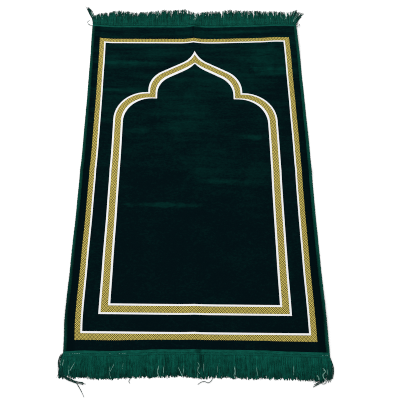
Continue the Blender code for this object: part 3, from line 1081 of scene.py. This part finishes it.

# %% [markdown]
# ## Loose threads
#
# At the corners some threads have worked loose: wisps that stand out of the fringe, small
# loops and hooks, and a bundle that has swept in under each near corner. A few are
# painted pale, as glints. They wander too freely for a rule, so each is drawn with the
# pencil through the few points of its course, made a smooth curve and rounded into a
# thread. A wisp is one course that is drawn several times, a little apart.

# %% The loose threads' courses, in millimetres on the floor
LOOSE = (  # end, colour, threads, how far apart at the root and the tip, then (x, y) points
    ("far", "dark", 26, 9, 12, ((-342, 556), (-352, 582), (-365, 608), (-376, 634))),
    ("far", "dark", 12, 9, 15, ((-342, 560), (-351, 584), (-361, 606), (-371, 628))),
    ("far", "pale", 2, 6, 6, ((-352, 590), (-358, 604), (-363, 616))),
    ("far", "dark", 2, 1, 2, ((-350, 552), (-361, 555), (-369, 562), (-370, 573), (-364, 579))),
    ("far", "dark", 18, 7, 17, ((343, 560), (350, 578), (356, 592), (362, 606))),
    ("far", "dark", 9, 8, 10, ((336, 562), (342, 585), (348, 604), (354, 620))),
    ("far", "pale", 2, 3, 6, ((334, 566), (341, 584), (350, 598), (352, 606))),
    ("far", "pale", 2, 5, 6, ((306, 580), (315, 594), (322, 606))),
    ("far", "dark", 2, 1, 1, ((345, 548), (354, 552), (356, 559), (349, 562), (345, 556))),
    ("far", "pale", 3, 14, 18, ((-6, 578), (-1, 590), (2, 604))),
    ("far", "pale", 1, 0, 0, ((-134, 585), (-130, 598), (-128, 612))),
    ("near", "dark", 22, 9, 12, ((-345, -554), (-354, -560), (-356, -585), (-350, -612))),
    ("near", "dark", 16, 9, 12, ((-344, -556), (-349, -575), (-350, -595), (-346, -614))),
    ("near", "pale", 3, 10, 12, ((-350, -565), (-353, -576), (-353, -588))),
    ("near", "dark", 7, 5, 9, ((-350, -592), (-342, -611), (-318, -623), (-287, -630))),
    ("near", "dark", 2, 1, 1, ((-338, -612), (-314, -622), (-299, -640), (-285, -664))),
    ("near", "dark", 20, 9, 12, ((344, -554), (350, -572), (353, -596), (347, -624))),
    ("near", "dark", 14, 9, 12, ((341, -554), (344, -575), (345, -598), (340, -624))),
    ("near", "dark", 5, 4, 5, ((338, -606), (331, -621), (318, -630), (302, -639))),
    ("near", "dark", 1, 0, 0, ((334, -604), (341, -616), (336, -628), (327, -632), (320, -624))),
    ("near", "pale", 1, 0, 0, ((330, -566), (330, -574), (331, -580))),
    ("near", "pale", 3, 2, 3, ((331, -594), (337, -601), (331, -608), (330, -616), (335, -622))),
    ("near", "pale", 2, 2, 2, ((313, -610), (316, -616), (318, -623))),
    ("near", "dark", 1, 0, 0, ((44, -606), (41, -620), (31, -628), (22, -625), (14, -626), (4, -632))),
    ("near", "dark", 1, 0, 0, ((-168, -606), (-170, -616), (-174, -624), (-171, -629))),
    ("near", "pale", 1, 0, 0, ((99, -590), (101, -600), (98, -610), (101, -619))),
    ("near", "pale", 1, 0, 0, ((4, -576), (8, -586), (4, -596), (9, -606))),
    ("near", "dark", 2, 5, 9, ((6, -566), (12, -556), (9, -546), (13, -536))),
    ("near", "dark", 4, 8, 12, ((8, -552), (12, -566), (14, -580), (10, -596))),
    ("near", "pale", 1, 0, 0, ((-46, -590), (-41, -601), (-36, -612))),
    ("near", "pale", 1, 0, 0, ((-98, -586), (-101, -600), (-97, -613))),
    ("near", "pale", 1, 0, 0, ((-317, -576), (-323, -587), (-328, -597))),
)
LOOSE_THREAD = {"dark": 0.55 * MM, "pale": 0.4 * MM}  # a thread's radius
ALONE_THICKER = 1.3  # a thread that lies alone, than those of a wisp
LIES_AT = {"dark": 1.7 * MM, "pale": 3.4 * MM}  # its height: pale threads lie on the others
print(sum(row[2] for row in LOOSE), "loose threads to draw")


# %% A smooth course, and how a thread strays from it
def smooth_line(line):
    """Makes a drawn line a curve that runs smoothly through its points."""
    click(line)
    bpy.ops.object.convert(target="CURVE")
    bpy.ops.object.mode_set(mode="EDIT")
    bpy.ops.curve.select_all(action="SELECT")
    bpy.ops.curve.spline_type_set(type="BEZIER")
    bpy.ops.curve.handle_type_set(type="AUTOMATIC")
    bpy.ops.object.mode_set(mode="OBJECT")
    line.data.resolution_u = 5


def strayed(course, root_apart, tip_apart, in_wisp, chance):
    """A thread's own course in metres, a little off that of its wisp."""
    apart = np.linspace(root_apart, tip_apart, len(course))[:, None]
    own = np.array(course) + chance.uniform(-0.5, 0.5, 2) * apart
    own = (own + chance.normal(0, 0.9, own.shape) * in_wisp) * MM
    own[-1] += (own[-1] - own[-2]) * chance.uniform(-0.4, 0.1) * in_wisp
    return own


# %% Draw each of them
chance = np.random.default_rng(9)
loose = {"far": [], "near": []}
for end, colour, threads, root_apart, tip_apart, course in LOOSE:
    for thread in range(threads):
        own = strayed(course, root_apart, tip_apart, threads > 1, chance)
        height = lift(own[:, 0], own[:, 1]) + LIES_AT[colour] + chance.uniform(-0.6, 0.6) * MM
        line = start_line("loose", (*own[0], height[0]))
        for place, up in zip(own[1:], height[1:]):
            run_to((*place, up))
        close_mesh()
        smooth_line(line)
        line = tube_from(line, LOOSE_THREAD[colour] * (1 if threads > 1 else ALONE_THICKER))
        line.data.materials.append(pale_yarn if colour == "pale" else loose_yarn)
        loose[end].append(line)
loose_far, loose_near = (join(loose[end], "loose_" + end) for end in ("far", "near"))
for piece in (loose_far, loose_near):
    finish_shape(piece, 80)
    print(piece.name, "has", len(piece.data.polygons), "faces")

# %% [markdown]
# ## Finishes
#
# Every finish is a shader network. Most of it is arithmetic on places: where on the sheet
# a point is decides which strand of the weave it's on, or how the nap was brushed there.
# `Wire` stands for a number that flows between nodes, and Python's own signs add the
# nodes for it, so `1 - mask` reads as what it does. `Finish` adds any other node.


# %% Arithmetic in a shader
class Wire:
    """A number, colour or vector on its way from one node to another."""

    def __init__(self, finish, socket):
        self.finish = finish
        self.socket = socket

    def __add__(self, other):
        return self.finish.maths("ADD", self, other)

    def __radd__(self, other):
        return self.finish.maths("ADD", other, self)

    def __sub__(self, other):
        return self.finish.maths("SUBTRACT", self, other)

    def __rsub__(self, other):
        return self.finish.maths("SUBTRACT", other, self)

    def __mul__(self, other):
        return self.finish.maths("MULTIPLY", self, other)

    def __rmul__(self, other):
        return self.finish.maths("MULTIPLY", other, self)

    def __truediv__(self, other):
        return self.finish.maths("DIVIDE", self, other)

    def __rtruediv__(self, other):
        return self.finish.maths("DIVIDE", other, self)

    def __pow__(self, other):
        return self.finish.maths("POWER", self, other)

    def __lt__(self, other):
        return self.finish.maths("LESS_THAN", self, other)

    def __gt__(self, other):
        return self.finish.maths("GREATER_THAN", self, other)

    def __abs__(self):
        return self.finish.maths("ABSOLUTE", self)


# %% A finish and its nodes
class Finish:
    """A material's network; its inputs take numbers, colours and wires."""

    def __init__(self, material, **constants):
        material.use_nodes = True
        self.tree = material.node_tree
        self.shader = self.tree.nodes["Principled BSDF"]
        self.put(**constants)

    def put(self, **values):
        """Sets or links inputs of the main shader, named with _ for a space."""
        for name, value in values.items():
            self.feed(self.shader.inputs[name.replace("_", " ")], value)

    def feed(self, socket, value):
        """Links a wire to a socket, or sets a number or colour on it."""
        if isinstance(value, Wire):
            self.tree.links.new(value.socket, socket)
        elif isinstance(value, tuple) and len(value) == 3 and socket.type == "RGBA":
            socket.default_value = (*value, 1)
        else:
            socket.default_value = value

    def node(self, kind, output, settings, inputs):
        """Adds a node, with its settings first and then its inputs, and gives one output."""
        made = self.tree.nodes.new("ShaderNode" + kind)
        for name, value in settings.items():
            setattr(made, name, value)
        for name, value in inputs.items():
            self.feed(made.inputs[name], value)
        return Wire(self, made.outputs[output])

    def maths(self, operation, *values):
        """Adds a node that works a number out of others."""
        return self.node("Math", 0, {"operation": operation}, dict(enumerate(values)))

    def clip(self, value):
        """Holds a value between 0 and 1."""
        return self.node("Clamp", 0, {}, {0: value})

    def ease(self, value, low, high):
        """0 below low and 1 above high, with an eased run between."""
        settings = {"interpolation_type": "SMOOTHSTEP"}
        return self.node("MapRange", 0, settings, {0: value, 1: low, 2: high, 3: 0.0, 4: 1.0})

    def mix(self, share, first, second):
        """The first colour where the share is 0, the second where it is 1."""
        return self.node("Mix", 2, {"data_type": "RGBA"}, {0: share, 6: first, 7: second})

    def attribute(self, name):
        """The vector that each point keeps under this name, and its three numbers."""
        vector = self.node("Attribute", 1, {"attribute_name": name}, {})
        parts = self.node("SeparateXYZ", 0, {}, {0: vector}).socket.node.outputs
        return vector, *(Wire(self, part) for part in parts)

    def stretched(self, vector, scale):
        """The vector with each of its numbers scaled, to draw a noise out."""
        return self.node("VectorMath", 0, {"operation": "MULTIPLY"}, {0: vector, 1: scale})

    def noise(self, vector, scale, detail=2.0, roughness=0.5):
        """A number between 0 and 1 that wanders from place to place."""
        inputs = {"Vector": vector, "Scale": scale, "Detail": detail, "Roughness": roughness}
        return self.node("TexNoise", 0, {}, inputs)

    def part_of(self, place, size):
        """How far along its repeat a place is, from 0 to 1."""
        return self.maths("FRACT", place / size)

    def bump(self, height, distance, strength=1.0):
        """Lets a height between 0 and 1 tilt the surface; the distance is its full height."""
        inputs = {"Height": height, "Distance": distance, "Strength": strength}
        self.put(Normal=self.node("Bump", 0, {}, inputs))


# %% [markdown]
# Velvet swallows light when it is looked at straight on, and its colour comes from the
# tips of the pile. A picture of velvet could be laid over it, but arithmetic stays sharp
# from near and has no seam. Here and there a hand has brushed the nap the other way, which
# leaves lighter, ragged marks: a short table of ellipses, torn up by noise. Faint streaks
# run across it, as if combed, mostly in the far half. Toward the far end it is painted
# lighter, as sheen where the pile is seen more from the side. It has painted shade at the
# two ends of the long fold and along most of the edgings, where the pile leans away from
# the light.

# %% Where the nap was brushed
NAP_MARKS = (  # u, v, half length, half width in millimetres, strength
    (175, 110, 60, 14, 0.55),
    (100, -45, 110, 12, 0.40),
    (-90, -125, 150, 12, 0.60),
    (-200, 285, 60, 22, 0.30),
    (-285, 284, 50, 9, 0.60),
    (-220, 396, 130, 13, 0.65),
    (255, 362, 110, 24, 0.55),
    (-190, 130, 60, 14, 0.35),
    (240, 420, 100, 70, 0.50),
    (-275, 405, 30, 60, 0.20),
    (100, 525, 200, 10, 0.45),
    (60, 330, 200, 90, 0.20),
    (-45, 190, 120, 130, 0.30),
    (40, 15, 130, 90, 0.22),
    (190, -20, 60, 60, 0.20),
    (-130, 420, 60, 50, 0.25),
    (250, -330, 30, 120, 0.20),
)
finish = Finish(velvet, Roughness=1.0, Specular_IOR_Level=0.0, Sheen_Weight=0.06, Sheen_Roughness=0.4)
finish.put(Sheen_Tint=(0.02, 0.8, 0.65))
sheet, u, v, h = finish.attribute("sheet")
torn = finish.noise(sheet, 26.0, 4.0, 0.6) - 0.5
brushed = finish.noise(finish.stretched(sheet, (40.0, 190.0, 40.0)), 1.0, 3.0, 0.65)
marks = 0.0
for mark_u, mark_v, half_length, half_width, strength in NAP_MARKS:
    off_u = (u - mark_u * MM) / (half_length * MM)
    off_v = (v - mark_v * MM) / (half_width * MM)
    inside = 1.0 - finish.maths("SQRT", off_u * off_u + off_v * off_v) + torn * 1.6
    marks = finish.ease(inside, 0.0, 0.8) * strength + marks
print("the nap has", len(NAP_MARKS), "brushed marks")

# %% The green velvet
DEEP_GREEN = (0.0009, 0.0048, 0.0064)
# the velvet's dark green in the painted shade along the edgings
HEM_SHADE_GREEN = (0.0006, 0.0042, 0.0056)
LIT_GREEN = (0.0014, 0.0310, 0.0245)
SHADED_FROM, SHADED_TO = 315 * MM, 327 * MM  # from the middle, where a hem's shade sets in
cloudy = finish.noise(sheet, 9.0, 3.0, 0.5)
combed = finish.noise(finish.stretched(sheet, (5.0, 48.0, 5.0)), 1.0, 5.0, 0.62) - 0.5
# painted sheen: the velvet is lighter toward the far end, where the pile is seen more from the side
painted_far_sheen = finish.ease(v, -0.35, 0.55)
# painted shade at the two ends of the long fold
fold_shade = finish.ease(abs(u - FOLD_U) + torn * 6 * MM, 5 * MM, 1 * MM)
fold_shade = fold_shade * finish.ease(abs(v), 0.47, 0.54)
light = painted_far_sheen * 0.15 + (cloudy - 0.5) * 0.35 + marks * (brushed * 1.4) - fold_shade * 0.25
light = light + combed * (painted_far_sheen + 0.15)
mottled = finish.noise(finish.stretched(sheet, (1.0, 1.6, 1.0)), 130.0, 3.0, 0.7) - 0.5
# painted shade along most of the edgings, least toward the far end
down_side = finish.ease(v - (u < 0.0) * 0.35, 0.50, 0.10)
hem_shade = finish.ease(abs(u - BORDER_AXIS * MM), SHADED_FROM, SHADED_TO) * down_side
grain = finish.noise(sheet, 900.0, 2.0, 0.6)
light = finish.clip(light + mottled * 0.75 + (grain - 0.5) * 0.18 - hem_shade * 0.10)
dark = finish.mix(hem_shade, DEEP_GREEN, HEM_SHADE_GREEN)
finish.put(Base_Color=finish.mix(light, dark, LIT_GREEN))
finish.bump(grain, 0.4 * MM, 0.6)
print("the velvet has", len(finish.tree.nodes), "nodes")

# %% [markdown]
# The gold is a flat weave: short floats of bright yarn alternate with the dark ground, like
# a chequerboard of squares 2.5 mm wide. A second, weaker chequer at twice the repeat makes
# some floats fuller than others, so from a step away they join up into slanting lines.
# Each float is a rounded bump that is made of finer threads, with painted shade toward each thread's sides.

# %% The gold weave
FLOAT_REPEAT = 4.93 * MM
FLOAT_THREAD = 0.6 * MM
GOLD_GROUND = (0.015, 0.011, 0.002)
GOLD_YARN = (0.850, 0.690, 0.150)
finish = Finish(gold, Roughness=0.6, Specular_IOR_Level=0.1)
sheet, u, v, h = finish.attribute("sheet")
wobble = (finish.noise(sheet, 120.0, 1.0) - 0.5) * 0.8 * MM
chequer = 0.0
for repeat, strength in ((FLOAT_REPEAT, 1.0), (2 * FLOAT_REPEAT, 0.21)):
    wave_u = finish.maths("COSINE", (u + wobble) * (2 * math.pi / repeat))
    wave_v = finish.maths("COSINE", (v - wobble) * (2 * math.pi / repeat))
    chequer = wave_u * wave_v * strength + chequer
floats = finish.ease(chequer, -0.12, 0.34)
# painted shade: each fine thread is darker toward its sides
threads = abs(finish.part_of(u, FLOAT_THREAD) - 0.5) * 2.0
uneven = finish.noise(sheet, 70.0, 2.0, 0.6)
lit = floats * (0.72 + uneven * 0.45) * (1.0 - threads * threads * 0.2)
finish.put(Base_Color=finish.mix(lit, GOLD_GROUND, GOLD_YARN))
finish.bump(lit, 0.5 * MM, 0.5)
print("the gold weave has", len(finish.tree.nodes), "nodes")

# %% [markdown]
# The white bands are the same cut pile as the green, only undyed, so a fine even grain is
# enough. The back is a plain dark weave: weft over warp, one ridge to each thread, with
# painted shade in the hollows between the ridges. Nobody sees it while the rug lies flat,
# but it has to be there when the rug is lifted.

# %% The white pile
finish = Finish(white, Roughness=0.9, Specular_IOR_Level=0.1, Sheen_Weight=0.1)
sheet, u, v, h = finish.attribute("sheet")
grain = finish.noise(sheet, 420.0, 2.0, 0.6)
finish.put(Base_Color=finish.mix(grain, (0.60, 0.61, 0.62), (0.88, 0.88, 0.88)))
finish.bump(grain, 0.5 * MM, 0.6)
print("the white pile has", len(finish.tree.nodes), "nodes")

# %% The woven back
BACK_PITCH = 1.6 * MM
finish = Finish(back, Roughness=0.95, Specular_IOR_Level=0.1)
sheet, u, v, h = finish.attribute("sheet")
weft = abs(finish.part_of(v, BACK_PITCH) - 0.5) * 2.0
warp = abs(finish.part_of(u, BACK_PITCH) - 0.5) * 2.0
weave = finish.maths("MAXIMUM", 1.0 - weft * weft, 0.7 - warp * warp)
# painted shade: the colour follows the ridges, darker in the hollows between the threads
finish.put(Base_Color=finish.mix(weave, (0.002, 0.012, 0.010), (0.008, 0.050, 0.038)))
finish.bump(weave, 0.3 * MM, 0.8)
print("the back has a thread every", BACK_PITCH / MM, "mm")

# %% [markdown]
# The fringe's yarn is duller than the velvet, and each strand took the dye in its own way.
# So every strand keeps a chance tone, how far along itself a point is, and its layer: top
# strands are painted lighter, as if they catch the light, and the bottom ones darker, as
# painted shade. A few are painted pale to their ends, as glints. Near the fold the near
# fringe has parted, which leaves a painted shadow.

# %% The yarn of the fringe
PALE_GREEN = (0.20, 0.43, 0.36)
SHADED_YARN = (0.0006, 0.0200, 0.0150)
LIT_YARN = (0.0040, 0.1250, 0.0880)
LOOSE_GREEN = (0.003, 0.034, 0.027)
PARTED_U = 11 * MM
finish = Finish(yarn, Roughness=0.6, Specular_IOR_Level=0.04)
facts, tone, along, layer = finish.attribute("yarn")
sheet, u, v, h = finish.attribute("sheet")
patchy = finish.noise(sheet, 55.0, 3.0, 0.6) - 0.5
# painted shadow where the near fringe has parted by the fold
parted_shadow = finish.ease(abs(u - PARTED_U), 14 * MM, 2 * MM) * (v < 0.0)
parted_shadow = parted_shadow * finish.ease(along, 0.8, 0.3)
shaded = finish.ease(along, 0.45, 1.0) * 0.25 + parted_shadow * 0.3 + (v > 0.0) * 0.08
# painted light and shade: top layers lighter, bottom layers darker
streaky = finish.clip(tone * 0.55 + layer * 0.3 + patchy + 0.12 - shaded)
green = finish.mix(streaky, SHADED_YARN, LIT_YARN)
# painted glints: a few strands are pale from about halfway to their ends
pale = (tone > 0.999) * finish.ease(along, 0.50, 0.62)
finish.put(Base_Color=finish.mix(pale, green, PALE_GREEN))
Finish(loose_yarn, Roughness=0.7, Specular_IOR_Level=0.04, Base_Color=LOOSE_GREEN)
# the pale loose threads are painted glints
Finish(pale_yarn, Roughness=0.7, Specular_IOR_Level=0.04, Base_Color=PALE_GREEN)
print("the fringe's yarn has", len(finish.tree.nodes), "nodes")

# %% [markdown]
# A heading's strip is ribbed tape, a little brighter where its weft comes to the top, with
# painted shade between its ribs and at the fold. Its stitches share the finish, as the
# points say which they belong to: 0 is the strip, 1 the inner row and 2 the outer. Some
# inner stitches are pale.

# %% The headings' strip
RIB_PITCH = 1.2 * MM
SHADED_TAPE = (0.0008, 0.0260, 0.0190)
LIT_TAPE = (0.0042, 0.1200, 0.0850)
FOLDED_U = 6 * MM  # the middle of the painted shade at the fold
finish = Finish(heading_yarn, Roughness=0.8, Specular_IOR_Level=0.03)
sheet, u, v, h = finish.attribute("sheet")
facts, row, shade = finish.attribute("part")[:3]
weft = finish.noise(finish.stretched(sheet, (60.0, 700.0, 60.0)), 1.0, 2.0)
patchy = finish.noise(sheet, 90.0, 2.0)
# painted shade between the ribs: each is lighter at its crest
rib = 1.0 - (abs(finish.part_of(u, RIB_PITCH) - 0.5) * 2.0) ** 2.0
# painted shade at the fold
folded = finish.ease(abs(u - FOLDED_U) + (patchy - 0.5) * 12 * MM, 13 * MM, 3 * MM)
# the weave's own brightness, with the painted shade of the ribs and the fold
woven = finish.clip(weft * 1.1 + patchy * 0.7 + rib * 0.35 - 0.68 - folded * 0.35)
finish.bump(rib + weft * 0.8, 0.25 * MM, 0.7)
tape = finish.mix(woven, SHADED_TAPE, LIT_TAPE)
print("a heading has", round(WIDTH / RIB_PITCH), "ribs")

# %% The headings' stitches
PALE_STITCHES = (  # from and to along the near heading, in millimetres
    (-335, -305),
    (-230, -224),
    (-203, -185),
    (325, 345),
)
SHADED_STITCH = (0.0006, 0.0160, 0.0130)
LIT_STITCH = (0.0020, 0.0600, 0.0450)
PALE_STITCH_GREEN = (0.16, 0.36, 0.31)
# some stitches of the near heading's inner row are pale
pale_stitched = 0.0
for start, stop in PALE_STITCHES:
    pale_stitched = (u > start * MM) * (u < stop * MM) + pale_stitched
pale_stitched = pale_stitched * (v < 0.0) * (row > 0.5) * (row < 1.5) * (shade > 0.35)
sewn = finish.mix(pale_stitched, finish.mix(shade, SHADED_STITCH, LIT_STITCH), PALE_STITCH_GREEN)
finish.put(Base_Color=finish.mix(row > 0.5, tape, sewn))
print("the headings' finish has", len(finish.tree.nodes), "nodes")

# %% [markdown]
# The edgings' thread is the velvet's green, painted brighter on the outer side, as light
# where the turns round over the edge. It is uneven in long stretches, and the right edging
# is a shade lighter than the left.

# %% The edgings' thread
SHADED_THREAD = (0.0006, 0.0110, 0.0100)
LIT_THREAD = (0.0028, 0.0750, 0.0520)
finish = Finish(edging_thread, Roughness=0.7, Specular_IOR_Level=0.04)
sheet, u, v, h = finish.attribute("sheet")
# painted light: brighter on the outer side, where the turns round over the edge
outer = finish.ease(abs(u), HALF_WIDTH - EDGING_WIDTH, HALF_WIDTH - 2 * MM)
uneven = finish.noise(finish.stretched(sheet, (60.0, 12.0, 60.0)), 1.0, 2.0)
shade = outer * 0.55 + (uneven - 0.5) * 1.2 + finish.ease(v, -0.5, -0.2) * 0.4 - 0.1
shade = finish.clip(shade + (u > 0.0) * 0.3)
finish.put(Base_Color=finish.mix(shade, SHADED_THREAD, LIT_THREAD))
print("the edgings' finish has", len(finish.tree.nodes), "nodes")

# %% [markdown]
# ## Floor and light
#
# The rug lies on a plain pale floor that runs on past the picture. The light is that of a
# studio: a bright, even surround, with one wide round lamp above the far left, which gives
# the creases and curls a soft side of shade. A small lamp would throw hard shadows that
# the pile swallows anyway.

# %% The floor
FLOOR_SIZE = 12
bpy.ops.object.select_all(action="DESELECT")
bpy.ops.mesh.primitive_plane_add(size=FLOOR_SIZE, location=(0, 0, 0))
floor = bpy.context.object
floor.name = "floor"
floor_white = bpy.data.materials.new("floor_white")
Finish(floor_white, Roughness=1.0, Specular_IOR_Level=0.0, Base_Color=(0.95, 0.95, 0.95))
floor.data.materials.append(floor_white)
print("the floor is", FLOOR_SIZE, "m wide")

# %% The light
LAMP_PLACE = Vector((-1.2, 0.9, 2.6))
scene = bpy.context.scene
scene.world = bpy.data.worlds.new("studio")
scene.world.use_nodes = True
surround = scene.world.node_tree.nodes["Background"]
surround.inputs["Color"].default_value = (1, 1, 1, 1)
surround.inputs["Strength"].default_value = 0.85
bpy.ops.object.light_add(type="AREA", location=LAMP_PLACE)
lamp = bpy.context.object
lamp.data.shape = "DISK"
lamp.data.size = 2.2
lamp.data.energy = 40
lamp.rotation_euler = (-LAMP_PLACE).to_track_quat("-Z", "Y").to_euler()
print("the lamp stands", round(LAMP_PLACE.length, 2), "m from the rug's middle")

# %% The picture's tones
scene.view_settings.view_transform = "Standard"
scene.cycles.use_denoising = False  # it would smooth the weave away
scene.cycles.filter_width = 1.0
print("tones:", scene.view_settings.view_transform)

# %% [markdown]
# ## Hand-over
#
# Each piece rides on the rug's one body and stands for the solid whose place it takes,
# which is hidden.

# %% Hand over
HANDED = (
    (cloth, "velvet", "rug_cloth"),
    (edging_left, "binding_tape", "binding_left"),
    (edging_right, "binding_tape", "binding_right"),
    (heading_far, "fringe_yarn", "fringe_top"),
    (heading_near, "fringe_yarn", "fringe_bottom"),
    (fringe_far, "fringe_yarn", "fringe_top"),
    (fringe_near, "fringe_yarn", "fringe_bottom"),
    (loose_far, "fringe_yarn", "fringe_top"),
    (loose_near, "fringe_yarn", "fringe_bottom"),
)
for piece, slot_name, node in HANDED:
    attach(piece, "root")
    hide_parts(node)
print(len(HANDED), "pieces take the solids' places")
